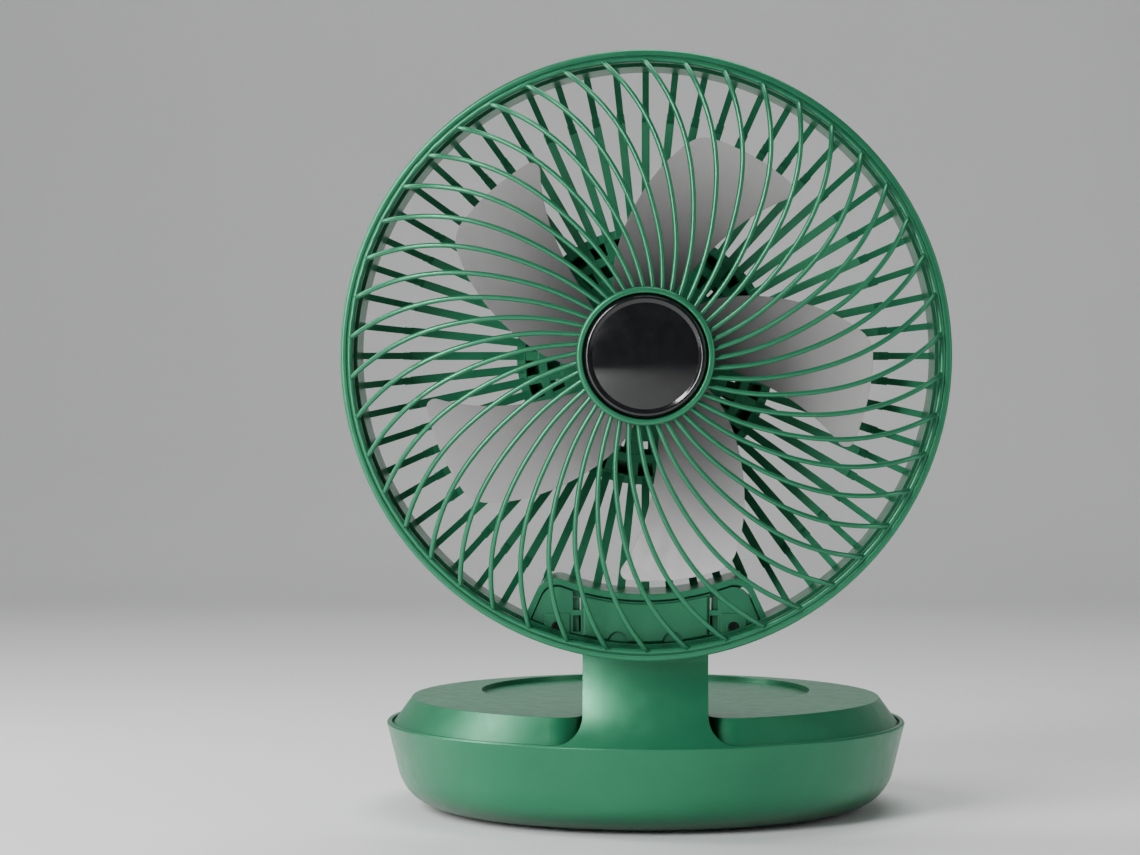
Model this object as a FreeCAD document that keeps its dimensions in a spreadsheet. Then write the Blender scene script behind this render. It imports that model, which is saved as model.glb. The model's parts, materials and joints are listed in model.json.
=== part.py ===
import FreeCAD, Part
import Sketcher
import math
import os

# Folding desk fan. Millimetres. The origin is the centre of the round foot on the table,
# +Z is up and the fan blows towards -Y.

os.makedirs("parts", exist_ok=True)
doc = FreeCAD.newDocument("desk_fan")
V = FreeCAD.Vector

SIZES = [
    # base bowl
    ("floor_underside", 1.2, "underside of the bowl above the table"),
    ("floor_inside", 3.4, "inside face of the bowl floor"),
    ("floor_radius", 79.0, "flat part of the floor"),
    ("corner_radius", 18.0, "bowl corner, outside"),
    ("corner_inner_radius", 15.8, "bowl corner, inside"),
    ("wall_foot_radius", 96.6, "where the corner meets the wall"),
    ("wall_foot_height", 15.3, "where the corner meets the wall"),
    ("wall_foot_inner", 94.4, "the same, inside"),
    ("wall_foot_inner_height", 15.8, "the same, inside"),
    ("rim_radius", 101.0, "widest part of the base"),
    ("rim_height", 33.3, "height of the rim"),
    ("rim_crest", 34.0, "top of the rim lip"),
    ("seat_radius", 98.95, "inner edge of the rim lip"),
    ("seat_height", 32.6, "ledge the cover rests on"),
    ("seat_inner", 97.7, "inner edge of the ledge"),
    ("wall_slope", 13.7, "lean of the bowl wall, degrees"),
    # top cover
    ("cover_seam_radius", 98.7, "cover at the seam"),
    ("cover_top_radius", 91.0, "edge of the flat top"),
    ("cover_top", 43.2, "height of the flat top"),
    ("cover_wall", 2.2, "cover thickness"),
    ("recess_radius", 65.2, "round recess for the folded head"),
    ("recess_centre", 24.5, "recess centre behind the base centre"),
    ("recess_depth", 2.0, "depth of the recess"),
    ("notch_half", 23.35, "half width of the gap for the neck"),
    ("notch_back", 66.15, "back of that gap, from the base centre"),
    ("notch_round", 8.6, "rounding of the cover beside the neck"),
    # neck
    ("neck_half", 23.0, "half width of the neck"),
    ("neck_inner_half", 20.6, "half width of its hollow"),
    ("neck_front_radius", 89.5, "upright front of the neck"),
    ("neck_front_inner", 87.1, "inside of that front"),
    ("neck_upright_height", 64.0, "where the front becomes upright"),
    ("neck_sweep", 46.7, "curve of the leaning front"),
    ("neck_sweep_inner", 48.0, "the same, inside"),
    ("neck_back", 66.5, "back of the neck"),
    ("neck_flare", 10.5, "side fillet down to the rim"),
    ("neck_screw_level", 55.0, "height of the screws in the back of the neck"),
    ("hinge_back", 78.0, "hinge axis in front of the base centre"),
    ("hinge_height", 73.8, "height of the hinge axis"),
    ("barrel_radius", 11.5, "round top of the neck"),
    ("barrel_inner", 9.1, "hollow of that top"),
    ("pin_radius", 3.0, "hinge pin"),
    ("pin_half", 28.8, "half length of the hinge pin"),
    ("bush_radius", 5.5, "hinge bush, outside"),
    ("bush_bore", 3.05, "hinge bush, bore"),
    # cage
    ("head_front", 106.5, "cage lip in front of the base centre"),
    ("head_height", 175.8, "height of the fan axis"),
    ("cage_radius", 110.0, "outside of the front ring"),
    ("lip_radius", 105.5, "inside of the ring face"),
    ("ring_inner", 107.95, "inside of the ring skirt"),
    ("ring_depth", 9.5, "depth of the front ring"),
    ("lip_depth", 4.4, "depth of the thick part of the ring"),
    ("groove_radius", 107.6, "fine groove in the ring face"),
    ("groove_half", 0.25, "half width of that groove"),
    ("groove_depth", 0.5, "depth of that groove"),
    ("rib_count", 46, "curved ribs of the front grille"),
    ("rib_radius", 0.9, "half thickness of a rib"),
    ("rib_circle", 106.3, "circle the ribs start on"),
    ("rib_foot", 2.6, "depth of the ribs where they enter the ring"),
    ("rib_rise", 19.3, "height of the domed grille"),
    ("rib_sweep", 30.0, "turn of a rib from ring to centre, degrees"),
    ("rib_start", 4.3, "angle of the first rib, degrees"),
    ("centre_outer", 24.6, "centre ring of the grille"),
    ("centre_inner", 22.35, "inside of the centre ring"),
    ("centre_front", 20.3, "front of the centre ring"),
    ("centre_back", 12.8, "back of the centre ring"),
    ("centre_floor", 15.6, "front of the disc that carries the badge"),
    ("badge_radius", 22.1, "badge"),
    ("badge_dome", 80.0, "curve of the badge face"),
    # rear grille
    ("flange_radius", 109.6, "rear ring, outside"),
    ("flange_inner", 104.5, "rear ring, inside"),
    ("flange_front", 9.7, "front of the rear ring"),
    ("flange_back", 13.0, "back of the rear ring"),
    ("spigot_outer", 107.75, "spigot that enters the front ring"),
    ("spigot_inner", 105.9, "inside of that spigot"),
    ("spigot_front", 4.8, "front of that spigot"),
    ("slat_count", 60, "straight slats of the rear grille"),
    ("slat_width", 3.0, "width of a slat across the back"),
    ("side_width", 2.4, "width of a slat along the side"),
    ("band_outer", 48.1, "outer band, outside"),
    ("band_middle", 44.9, "outer band, inside"),
    ("band_next", 40.1, "second band, outside"),
    ("band_inner", 36.9, "second band, inside"),
    ("band_front", 49.0, "front of the bands"),
    ("band_back", 52.4, "back of the bands"),
    ("dome_back", 59.2, "flat back of the rear cover"),
    ("hub_plate", 32.0, "disc that carries the motor"),
    ("skirt_back", 29.0, "back of the plain wall behind the rear ring"),
    ("bar_count", 30, "short bars between bands and disc"),
    ("bar_width", 3.4, "width of a short bar"),
    ("pocket_outer", 86.6, "hinge pocket wall, upper face"),
    ("pocket_inner", 88.8, "hinge pocket wall, lower face"),
    ("pocket_half_outer", 24.9, "pocket wall outside, degrees"),
    ("pocket_half_inner", 23.6, "pocket wall inside, degrees"),
    ("pocket_round_outer", 8.2, "pocket corner, outside"),
    ("pocket_round_inner", 6.0, "pocket corner, inside"),
    ("pocket_front", 12.8, "front of the pocket walls"),
    ("pocket_back", 50.0, "back of the pocket walls"),
    ("ear_near", 24.2, "ear face beside the neck"),
    ("ear_far", 48.0, "outer end of the ear"),
    ("ear_top", 88.0, "top of the ear below the fan axis"),
    ("ear_bottom", 106.0, "bottom of the ear"),
    ("ear_front", 15.4, "front of the ear"),
    ("ear_back", 38.0, "back of the ear"),
    ("hinge_depth", 28.5, "hinge axis behind the cage lip"),
    ("hinge_drop", 102.0, "hinge axis below the fan axis"),
    # hinge cover
    ("plate_outer", 104.2, "lower edge of the hinge cover"),
    ("plate_inner", 89.5, "upper edge of the hinge cover"),
    ("plate_half", 23.3, "half angle of the hinge cover, degrees"),
    ("plate_front", 13.5, "front face"),
    ("plate_back", 15.3, "back face"),
    ("plate_round", 6.0, "rounded upper corners"),
    ("panel_half", 22.8, "half width of the raised middle"),
    ("panel_front", 12.4, "front of the raised middle"),
    ("slit_near", 23.5, "slit beside the raised middle"),
    ("slit_far", 26.3, "slit, outer side"),
    ("bridge_drop", 93.4, "bridge across the slit"),
    ("bridge_half", 1.0, "half thickness of the bridge"),
    ("cover_screw_side", 32.1, "hinge cover screws from the middle"),
    ("cover_screw_drop", 98.6, "the same, below the fan axis"),
    # impeller
    ("blade_count", 5, "blades"),
    ("blade_radius", 82.5, "blade tip"),
    ("blade_thickness", 1.7, "blade thickness"),
    ("blade_middle", 19.5, "middle of the blades behind the lip"),
    ("blade_pitch", 25.0, "axial rise of a blade per radian"),
    ("hub_radius", 24.4, "impeller hub"),
    ("hub_bore", 22.7, "inside of the hub"),
    ("hub_front", 3.0, "front of the hub"),
    ("hub_back", 33.0, "back of the hub"),
    # motor
    ("shaft_radius", 2.0, "motor shaft"),
    ("sleeve_bore", 2.03, "sleeve bearing bore"),
    ("tube_inner", 5.0, "bearing tube, inside"),
    ("tube_outer", 7.0, "bearing tube, outside"),
    ("stator_radius", 19.0, "stator"),
    ("magnet_inner", 19.6, "magnet ring, inside"),
    ("magnet_outer", 21.3, "magnet ring, outside"),
    ("bell_radius", 22.5, "rotor bell"),
    ("coil_count", 9, "stator teeth"),
    # controls in the back wall
    ("panel_level", 24.6, "height of the controls"),
    ("panel_reach", 98.87, "bowl wall at that height"),
    ("button_radius", 5.4, "power button"),
    ("button_travel", 1.2, "power button travel"),
    ("lens_side", 14.0, "status lens from the button"),
    ("socket_side", 15.3, "charging socket from the button"),
    # battery
    ("cell_radius", 9.2, "battery cell"),
    ("cell_length", 65.0, "battery cell"),
    ("cell_level", 14.4, "height of the cell axes"),
    # foot
    ("foot_inner", 62.0, "rubber foot ring, inside"),
    ("foot_outer", 69.0, "rubber foot ring, outside"),
]

SIZE = {name: number for name, number, note in SIZES}
sheet = doc.addObject("Spreadsheet::Sheet", "sizes")
for row, (name, number, note) in enumerate(SIZES, 1):
    sheet.set("A" + str(row), name)
    sheet.set("B" + str(row), str(number))
    sheet.set("C" + str(row), note)
    sheet.setAlias("B" + str(row), name)
doc.recompute()


# ---------------------------------------------------------------- helpers
def tokens(text):
    for mark in "+-*/()":
        text = text.replace(mark, " " + mark + " ")
    return text.split()


def formula(text):
    """Spreadsheet expression for a sum of size names and numbers."""
    return " ".join("sizes." + t if t in SIZE else t for t in tokens(text))


def value(text):
    """Number for the same sum, used as the starting shape of a sketch."""
    waiting = tokens(text)

    def atom():
        t = waiting.pop(0)
        if t == "-":
            return -atom()
        if t == "(":
            inside = total()
            waiting.pop(0)
            return inside
        return SIZE[t] if t in SIZE else float(t)

    def term():
        number = atom()
        while waiting and waiting[0] in ("*", "/"):
            if waiting.pop(0) == "*":
                number *= atom()
            else:
                number /= atom()
        return number

    def total():
        number = term()
        while waiting and waiting[0] in ("+", "-"):
            if waiting.pop(0) == "+":
                number += term()
            else:
                number -= term()
        return number

    return total()


def bind(thing, prop, text):
    thing.setExpression(prop, formula(text))


def new_body(label):
    body = doc.addObject("PartDesign::Body", label)
    if hasattr(body, "AllowCompound"):
        body.AllowCompound = True
    return body


def place_point(made, geo, pos, x, y):
    """Tie one sketch point to the sheet."""
    for kind, text, axis in (("DistanceX", x, -2), ("DistanceY", y, -1)):
        if abs(value(text)) < 1e-9:
            made.addConstraint(Sketcher.Constraint("PointOnObject", geo, pos, axis))
        else:
            mark = made.addConstraint(Sketcher.Constraint(kind, -1, 1, geo, pos, value(text)))
            bind(made, "Constraints[%d]" % mark, text)


def outline(made, points):
    """Closed outline. A point is (x, y) or (x, y, radius, turn): the stretch after it is an arc,
    turning left for 1 and right for -1."""
    ends = []
    for i, point in enumerate(points):
        a = V(value(point[0]), value(point[1]), 0)
        after = points[(i + 1) % len(points)]
        b = V(value(after[0]), value(after[1]), 0)
        if len(point) == 2:
            geo = made.addGeometry(Part.LineSegment(a, b), False)
            ends.append((geo, 1, 2))
            continue
        radius, turn = value(point[2]), point[3]
        chord = b - a
        rise = math.sqrt(max(radius ** 2 - (chord.Length / 2) ** 2, 0.0))
        left = V(-chord.y, chord.x, 0).normalize()
        centre = (a + b) * 0.5 + left * (turn * rise)
        first, last = (a, b) if turn > 0 else (b, a)
        start = math.atan2(first.y - centre.y, first.x - centre.x)
        stop = math.atan2(last.y - centre.y, last.x - centre.x)
        if stop < start:
            stop += 2 * math.pi
        circle = Part.Circle(centre, V(0, 0, 1), radius)
        geo = made.addGeometry(Part.ArcOfCircle(circle, start, stop), False)
        ends.append((geo, 1, 2) if turn > 0 else (geo, 2, 1))
    for i, (geo, first, last) in enumerate(ends):
        following = ends[(i + 1) % len(ends)]
        made.addConstraint(
            Sketcher.Constraint("Coincident", geo, last, following[0], following[1])
        )
    for (geo, first, last), point in zip(ends, points):
        place_point(made, geo, first, point[0], point[1])
        if len(point) == 4:
            mark = made.addConstraint(Sketcher.Constraint("Radius", geo, value(point[2])))
            bind(made, "Constraints[%d]" % mark, point[2])


def disc(made, x, y, radius):
    centre = V(value(x), value(y), 0)
    geo = made.addGeometry(Part.Circle(centre, V(0, 0, 1), value(radius)), False)
    mark = made.addConstraint(Sketcher.Constraint("Radius", geo, value(radius)))
    bind(made, "Constraints[%d]" % mark, radius)
    place_point(made, geo, 3, x, y)


def sketch(body, role, loops, offset="0"):
    """Sketch on one of the body's own origin planes."""
    made = body.newObject("Sketcher::SketchObject", body.Name + "_sketch")
    plane = [f for f in body.Origin.OriginFeatures if f.Role == role][0]
    made.AttachmentSupport = [(plane, "")]
    made.MapMode = "FlatFace"
    if offset != "0":
        made.AttachmentOffset = FreeCAD.Placement(V(0, 0, value(offset)), FreeCAD.Rotation())
        bind(made, "AttachmentOffset.Base.z", offset)
    for loop in loops:
        if loop[0] == "disc":
            disc(made, *loop[1:])
        else:
            outline(made, loop)
    return made


def turned(label, *loops):
    """Body of revolution about its own Z axis, from (radius, height) outlines."""
    body = new_body(label)
    made = sketch(body, "XZ_Plane", loops)
    feature = body.newObject("PartDesign::Revolution", label + "_turn")
    feature.Profile = made
    feature.ReferenceAxis = (made, ["V_Axis"])
    feature.Angle = 360.0
    made.Visibility = False
    return body


def ring(label, inner, outer, low, high):
    """Plain turned ring or disc."""
    return turned(label, [(inner, low), (outer, low), (outer, high), (inner, high)])


def add_pad(body, role, loops, low, length, middle=False):
    made = sketch(body, role, loops, low)
    feature = body.newObject("PartDesign::Pad", body.Name + "_pad")
    feature.Profile = made
    feature.Length = value(length)
    bind(feature, "Length", length)
    if middle:
        feature.Midplane = True
    made.Visibility = False
    return feature


def padded(label, role, loops, low, length, middle=False):
    """Body made by one straight extrusion."""
    body = new_body(label)
    add_pad(body, role, loops, low, length, middle)
    return body


def rod(label, x, y, radius, low, length):
    """Round rod along Z."""
    return padded(label, "XY_Plane", [("disc", x, y, radius)], low, length)


def block(x_low, x_high, y_low, y_high):
    return [(x_low, y_low), (x_high, y_low), (x_high, y_high), (x_low, y_high)]


def stadium(x, half, radius):
    """Slot outline along x with round ends, centred on y = 0."""
    left, right = x + " - " + half, x + " + " + half
    return [
        (left, "- " + radius),
        (right, "- " + radius, radius, 1),
        (right + " + " + radius, "0", radius, 1),
        (right, radius),
        (left, radius, radius, 1),
        (left + " - " + radius, "0", radius, 1),
    ]


def around(body, feature, count, angle="360"):
    """Polar pattern of one feature about the body's Z axis."""
    pattern = body.newObject("PartDesign::PolarPattern", body.Name + "_around")
    pattern.Originals = [feature]
    axis = [f for f in body.Origin.OriginFeatures if f.Role == "Z_Axis"][0]
    pattern.Axis = (axis, [""])
    pattern.Angle = float(angle)
    pattern.Occurrences = int(value(count))
    bind(pattern, "Occurrences", count)
    body.Tip = pattern
    return pattern


def joined(label, *pieces, tidy=True):
    made = doc.addObject("Part::MultiFuse", label)
    made.Shapes = list(pieces)
    made.Refine = tidy
    return made


def shared(label, *pieces):
    made = doc.addObject("Part::MultiCommon", label)
    made.Shapes = list(pieces)
    return made


def cut(label, solid, *tools):
    made = doc.addObject("Part::Cut", label)
    made.Base = solid
    if len(tools) == 1:
        made.Tool = tools[0]
    else:
        tool = doc.addObject("Part::Compound", label + "_tools")
        tool.Links = list(tools)
        made.Tool = tool
    made.Refine = False
    return made


def group(label, *pieces):
    made = doc.addObject("Part::Compound", label)
    made.Links = list(pieces)
    return made


def rounded(label, solid, radius, wanted):
    """Fillet the edges whose middle point passes the test."""
    doc.recompute()
    made = doc.addObject("Part::Fillet", label)
    made.Base = solid
    chosen = []
    for number, edge in enumerate(solid.Shape.Edges, 1):
        span = edge.FirstParameter + edge.LastParameter
        if wanted(edge, edge.valueAt(span / 2)):
            chosen.append((number, value(radius), value(radius)))
    made.Edges = chosen
    return made


def sector(label, inner, outer, half, front, back):
    """Part of a ring about the fan axis, centred straight below it."""
    low = "- (" + back + ")"
    deep = "(" + back + ") - (" + front + ")"
    pieces = []
    for name, radius in (("outer", outer), ("inner", inner)):
        made = doc.addObject("Part::Cylinder", label + "_" + name)
        bind(made, "Radius", radius)
        bind(made, "Height", deep if name == "outer" else deep + " + 2")
        made.Placement = FreeCAD.Placement(
            V(0, 0, value(low) - (0 if name == "outer" else 1)),
            FreeCAD.Rotation(V(0, 0, 1), 270 - value(half)),
        )
        if name == "outer":
            bind(made, "Angle", "2 * " + half)
        pieces.append(made)
    return cut(label + "_ring", *pieces)


NODES = []
HEAD = FreeCAD.Placement(
    V(0, -SIZE["head_front"], SIZE["head_height"]), FreeCAD.Rotation(V(1, 0, 0), 90)
)
LEAN = SIZE["wall_slope"]
PANEL = FreeCAD.Placement(
    V(0, SIZE["panel_reach"], SIZE["panel_level"]),
    FreeCAD.Rotation(V(1, 0, 0), -(90 + LEAN)),
)


def node(piece, where=None):
    """Hand in one piece, standing where it belongs."""
    if where is not None:
        piece.Placement = where
    NODES.append(piece)
    return piece


def head_node(piece):
    """Piece drawn about the fan axis: own x to the right, y up, z towards the front."""
    node(piece, HEAD)
    bind(piece, "Placement.Base.y", "- head_front")
    bind(piece, "Placement.Base.z", "head_height")
    return piece


def panel_node(piece):
    """Piece drawn on the back wall: own z points out through the wall."""
    node(piece, PANEL)
    bind(piece, "Placement.Base.y", "panel_reach")
    bind(piece, "Placement.Base.z", "panel_level")
    return piece


def screw(label, x, y, low, head_radius, head_height, shank_radius, length, up=1):
    """Round-headed screw along Z with a cross recess; the head is at low, the shank points up or down."""
    if up > 0:
        shank_low, recess_low = low + " + " + head_height, low + " - 0.1"
    else:
        shank_low, recess_low = low + " - " + length, low + " + " + head_height + " - 1"
    head = rod(label + "_head", x, y, head_radius, low, head_height)
    shank = rod(label + "_shank", x, y, shank_radius, shank_low, length)
    whole = joined(label + "_whole", head, shank)
    arm = head_radius + " * 0.62"
    bars = []
    for name, wide, tall in (("flat", arm, "0.35"), ("tall", "0.35", arm)):
        frame = block(x + " - " + wide, x + " + " + wide, y + " - " + tall, y + " + " + tall)
        bars.append(padded(label + "_" + name, "XY_Plane", [frame], recess_low, "1.1"))
    return cut(label, whole, *bars)


# ---------------------------------------------------------------- base
POSTS = [("70", "28"), ("- 70", "28"), ("62", "- 46"), ("- 62", "- 46")]


def base_shell():
    bowl = turned(
        "bowl",
        [
            ("0", "floor_underside"),
            ("floor_radius", "floor_underside", "corner_radius", 1),
            ("wall_foot_radius", "wall_foot_height"),
            ("rim_radius", "rim_height"),
            ("rim_radius - 0.5", "rim_crest"),
            ("seat_radius + 0.2", "rim_crest"),
            ("seat_radius", "rim_crest - 0.2"),
            ("seat_radius", "seat_height"),
            ("seat_inner", "seat_height"),
            ("wall_foot_inner", "wall_foot_inner_height", "corner_inner_radius", -1),
            ("floor_radius", "floor_inside"),
            ("0", "floor_inside"),
        ],
    )
    front = turned(
        "neck_front",
        [
            ("0", "seat_height"),
            ("rim_radius - 0.4", "seat_height"),
            ("rim_radius", "rim_height", "neck_sweep", -1),
            ("neck_front_radius", "neck_upright_height"),
            ("neck_front_radius", "hinge_height + 13"),
            ("0", "hinge_height + 13"),
        ],
    )
    side = [
        ("- 112", "seat_height"),
        ("- neck_back", "seat_height"),
        ("- neck_back", "hinge_height", "barrel_radius", 1),
        ("- hinge_back", "hinge_height + barrel_radius", "barrel_radius", 1),
        ("- neck_front_radius", "hinge_height"),
        ("- 112", "hinge_height"),
    ]
    side_slab = padded("neck_side", "YZ_Plane", [side], "0", "80", True)
    face = [
        ("- neck_half - neck_flare", "seat_height"),
        ("neck_half + neck_flare", "seat_height"),
        ("neck_half + neck_flare", "rim_crest", "neck_flare", -1),
        ("neck_half", "rim_crest + neck_flare"),
        ("neck_half", "hinge_height + 13"),
        ("- neck_half", "hinge_height + 13"),
        ("- neck_half", "rim_crest + neck_flare", "neck_flare", -1),
        ("- neck_half - neck_flare", "rim_crest"),
    ]
    face_slab = padded("neck_face", "XZ_Plane", [face], "0", "240", True)
    core_slab = padded(
        "neck_core",
        "XZ_Plane",
        [block("- neck_half", "neck_half", "seat_height", "hinge_height + 13")],
        "0",
        "240",
        True,
    )
    # behind the flared corners the neck is only a skin, so the cover can pass behind it
    lining = turned(
        "neck_lining",
        [
            ("0", "20"),
            ("97.5", "20"),
            ("98.9", "rim_height", "neck_sweep_inner + 1", -1),
            ("neck_front_radius - 2", "neck_upright_height"),
            ("neck_front_radius - 2", "hinge_height + 14"),
            ("0", "hinge_height + 14"),
        ],
    )
    skin = cut("neck_skin", shared("neck_outer", front, side_slab, face_slab), lining)
    column = shared("neck_column", front, side_slab, core_slab)
    hollow_front = turned(
        "hollow_front",
        [
            ("0", "20"),
            ("95", "20"),
            ("98.2", "rim_height", "neck_sweep_inner", -1),
            ("neck_front_inner", "neck_upright_height"),
            ("neck_front_inner", "hinge_height + 13"),
            ("0", "hinge_height + 13"),
        ],
    )
    hollow_side = padded(
        "hollow_side",
        "YZ_Plane",
        [
            [
                ("- 112", "20"),
                ("- neck_back - 2.4", "20"),
                ("- hinge_back + barrel_inner", "hinge_height", "barrel_inner", 1),
                ("- hinge_back", "hinge_height + barrel_inner", "barrel_inner", 1),
                ("- hinge_back - barrel_inner", "hinge_height"),
                ("- 112", "hinge_height"),
            ]
        ],
        "0",
        "neck_inner_half * 2",
        True,
    )
    hollow = shared("neck_hollow", hollow_front, hollow_side)
    window = padded(
        "neck_window",
        "XZ_Plane",
        [block("- 19.4", "19.4", "20", "66")],
        "neck_back - 2",
        "8",
    )
    bores = padded(
        "neck_bore", "YZ_Plane", [("disc", "- hinge_back", "hinge_height", "bush_radius")],
        "0", "60", True,
    )
    neck = cut("neck_open", joined("neck_whole", column, skin), hollow, window, bores)
    bosses = []
    holes = []
    for i, (x, y) in enumerate(POSTS):
        name = "floor_boss_%d" % i
        bosses.append(rod(name, x, y, "5.2", "floor_inside - 0.6", "3.1"))
        holes.append(rod(name + "_sink", x, y, "3.3", "floor_underside - 1", "3.8"))
        holes.append(rod(name + "_hole", x, y, "1.7", "floor_underside", "8"))
    for i, x in enumerate(("14", "- 14")):
        post = [("disc", x, "neck_screw_level", "3.4")]
        pilot = [("disc", x, "neck_screw_level", "1.3")]
        bosses.append(padded("neck_post_%d" % i, "XZ_Plane", post, "69", "18.9"))
        holes.append(padded("neck_pilot_%d" % i, "XZ_Plane", pilot, "68", "14"))
    groove = ring("foot_groove", "foot_inner - 0.1", "foot_outer + 0.1",
                  "floor_underside - 1", "floor_underside + 0.5")
    holes.append(groove)
    # openings and stand-offs of the control cluster
    ports = []
    stands = []
    ports.append(rod("button_hole", "0", "0", "button_radius + 0.3", "- 8", "14"))
    ports.append(rod("lens_hole", "lens_side", "0", "1.55", "- 8", "14"))
    mouth = stadium("- socket_side", "3", "1.85")
    ports.append(padded("socket_hole", "XY_Plane", [mouth], "- 8", "14"))
    for i, x in enumerate(("21", "- 21")):
        stand = rod("board_stand_%d" % i, x, "0", "2.4", "- 8", "4.6")
        pilot = rod("board_pilot_%d" % i, x, "0", "0.9", "- 8.5", "4.5")
        stands.append(stand)
        ports.append(pilot)
    for piece in ports + stands:
        piece.Placement = PANEL
    shell = joined("shell_whole", bowl, neck, *(bosses + stands))
    return cut("base_shell", shell, *(holes + ports))


def notched_disc(radius, height, half, back, round_off):
    """Plan outline of the cover at one height: a disc with a gap for the neck, whose two front
    corners are rounded."""
    off = half + round_off
    depth = -math.sqrt((radius - round_off) ** 2 - off ** 2)
    stretch = radius / (radius - round_off)
    def at(x, y):
        return V(x, y, height)

    edges = []
    outer_right = at(off * stretch, depth * stretch)
    outer_left = at(-off * stretch, depth * stretch)
    mid_angle = (math.pi + math.atan2(-depth, off)) / 2 * -1
    mid_right = at(off + round_off * math.cos(mid_angle), depth + round_off * math.sin(mid_angle))
    mid_left = at(-mid_right.x, mid_right.y)
    edges.append(Part.Arc(outer_right, at(radius, 0), at(0, radius)).toShape())
    edges.append(Part.Arc(at(0, radius), at(-radius, 0), outer_left).toShape())
    edges.append(Part.Arc(outer_left, mid_left, at(-half, depth)).toShape())
    edges.append(Part.makeLine(at(-half, depth), at(-half, -back)))
    edges.append(Part.makeLine(at(-half, -back), at(half, -back)))
    edges.append(Part.makeLine(at(half, -back), at(half, depth)))
    edges.append(Part.Arc(at(half, depth), mid_right, outer_right).toShape())
    return Part.Wire(edges)


def top_cover():
    def shape(label, low, low_radius, high, high_radius, half, back, round_off, hole, floor):
        """Cover block with the rounded gap for the neck and the round recess."""
        block_solid = doc.addObject("Part::Feature", label + "_block")
        wires = [
            notched_disc(value(radius), value(height), value(half), value(back), value(round_off))
            for radius, height in ((low_radius, low), (high_radius, high))
        ]
        block_solid.Shape = Part.makeLoft(wires, True, True)
        dish = rod(label + "_dish", "0", "recess_centre", hole, floor, "20")
        return cut(label, block_solid, dish)

    outside = shape(
        "cover_outside", "seat_height", "cover_seam_radius", "cover_top", "cover_top_radius",
        "notch_half", "notch_back", "notch_round", "recess_radius", "cover_top - recess_depth",
    )
    inside = shape(
        "cover_inside", "seat_height - 2", "cover_seam_radius - 1.5", "cover_top - cover_wall",
        "cover_top_radius - 1.1", "notch_half + cover_wall", "notch_back - cover_wall",
        "notch_round - cover_wall", "recess_radius + cover_wall",
        "cover_top - recess_depth - cover_wall",
    )
    shell = cut("cover_shell", outside, inside)
    posts = []
    holes = []
    for i, (x, y) in enumerate(POSTS):
        top = "cover_top - 1 - 6.1" if i > 1 else "cover_top - recess_depth - 1 - 6.1"
        posts.append(rod("cover_post_%d" % i, x, y, "4.2", "6.1", top))
        holes.append(rod("cover_pilot_%d" % i, x, y, "1.5", "5", "12"))
    return cut("top_cover", joined("cover_whole", shell, *posts), *holes)


def foot_ring():
    return ring("foot_ring", "foot_inner", "foot_outer", "0", "floor_underside + 0.5")


def base_screws():
    pieces = []
    for i, (x, y) in enumerate(POSTS):
        pieces.append(
            screw("base_screw_%d" % i, x, y, "floor_underside + 0.5", "2.9", "2.2", "1.45", "11")
        )
    return group("base_screws", *pieces)


def neck_rear_cover():
    plate = padded(
        "rear_plate", "XZ_Plane", [block("- 19.1", "19.1", "44.2", "65.7")], "neck_back", "2.2"
    )
    tools = []
    for i, x in enumerate(("14", "- 14")):
        hole = [("disc", x, "neck_screw_level", "1.6")]
        sink = [("disc", x, "neck_screw_level", "2.8")]
        tools.append(padded("rear_hole_%d" % i, "XZ_Plane", hole, "60", "12"))
        tools.append(padded("rear_sink_%d" % i, "XZ_Plane", sink, "60", "neck_back - 60 + 1.2"))
    return cut("neck_rear_cover", plate, *tools)


def neck_screws():
    pieces = []
    for i, x in enumerate(("14", "- 14")):
        one = screw("neck_screw_%d" % i, x, "0", "0", "2.6", "1.1", "1.25", "9")
        one.Placement = FreeCAD.Placement(
            V(0, -value("neck_back") - 0.05, value("neck_screw_level")),
            FreeCAD.Rotation(V(1, 0, 0), 90),
        )
        pieces.append(one)
    return group("neck_screws", *pieces)


def battery_cells():
    pieces = []
    for i in range(4):
        y = "2 + %d * 19" % i
        cell = padded("cell_%d" % i, "YZ_Plane", [("disc", y, "cell_level", "cell_radius")],
                      "0", "cell_length", True)
        pole = padded("cell_pole_%d" % i, "YZ_Plane", [("disc", y, "cell_level", "3")],
                      "0", "cell_length + 2", True)
        pieces.append(joined("cell_joined_%d" % i, cell, pole))
    return group("battery_cells", *pieces)


def battery_holder():
    tray = padded("tray", "XY_Plane", [block("- 36", "36", "- 9.5", "70.5")],
                  "floor_inside", "12")
    well = padded("tray_well", "XY_Plane", [block("- 34", "34", "- 7.7", "68.7")],
                  "floor_inside + 1.4", "12")
    return cut("battery_holder", tray, well)


def control_board():
    board = padded("board", "XY_Plane", [block("- 24", "24", "- 6.5", "6.5")], "- 9.6", "1.6")
    holes = [rod("board_hole_%d" % i, x, "0", "1.1", "- 12", "6") for i, x in
             enumerate(("21", "- 21"))]
    return cut("control_board", board, *holes)


def board_screws():
    pieces = []
    for i, x in enumerate(("21", "- 21")):
        pieces.append(screw("board_screw_%d" % i, x, "0", "- 10.8", "1.9", "1.2", "0.85", "4.5"))
    return group("board_screws", *pieces)


def tact_switch():
    case = padded("switch_case", "XY_Plane", [block("- 3", "3", "- 3", "3")], "- 8", "2.6")
    dish = rod("switch_dish", "0", "0", "1.9", "- 5.8", "2")
    return cut("tact_switch", case, dish)


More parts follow.
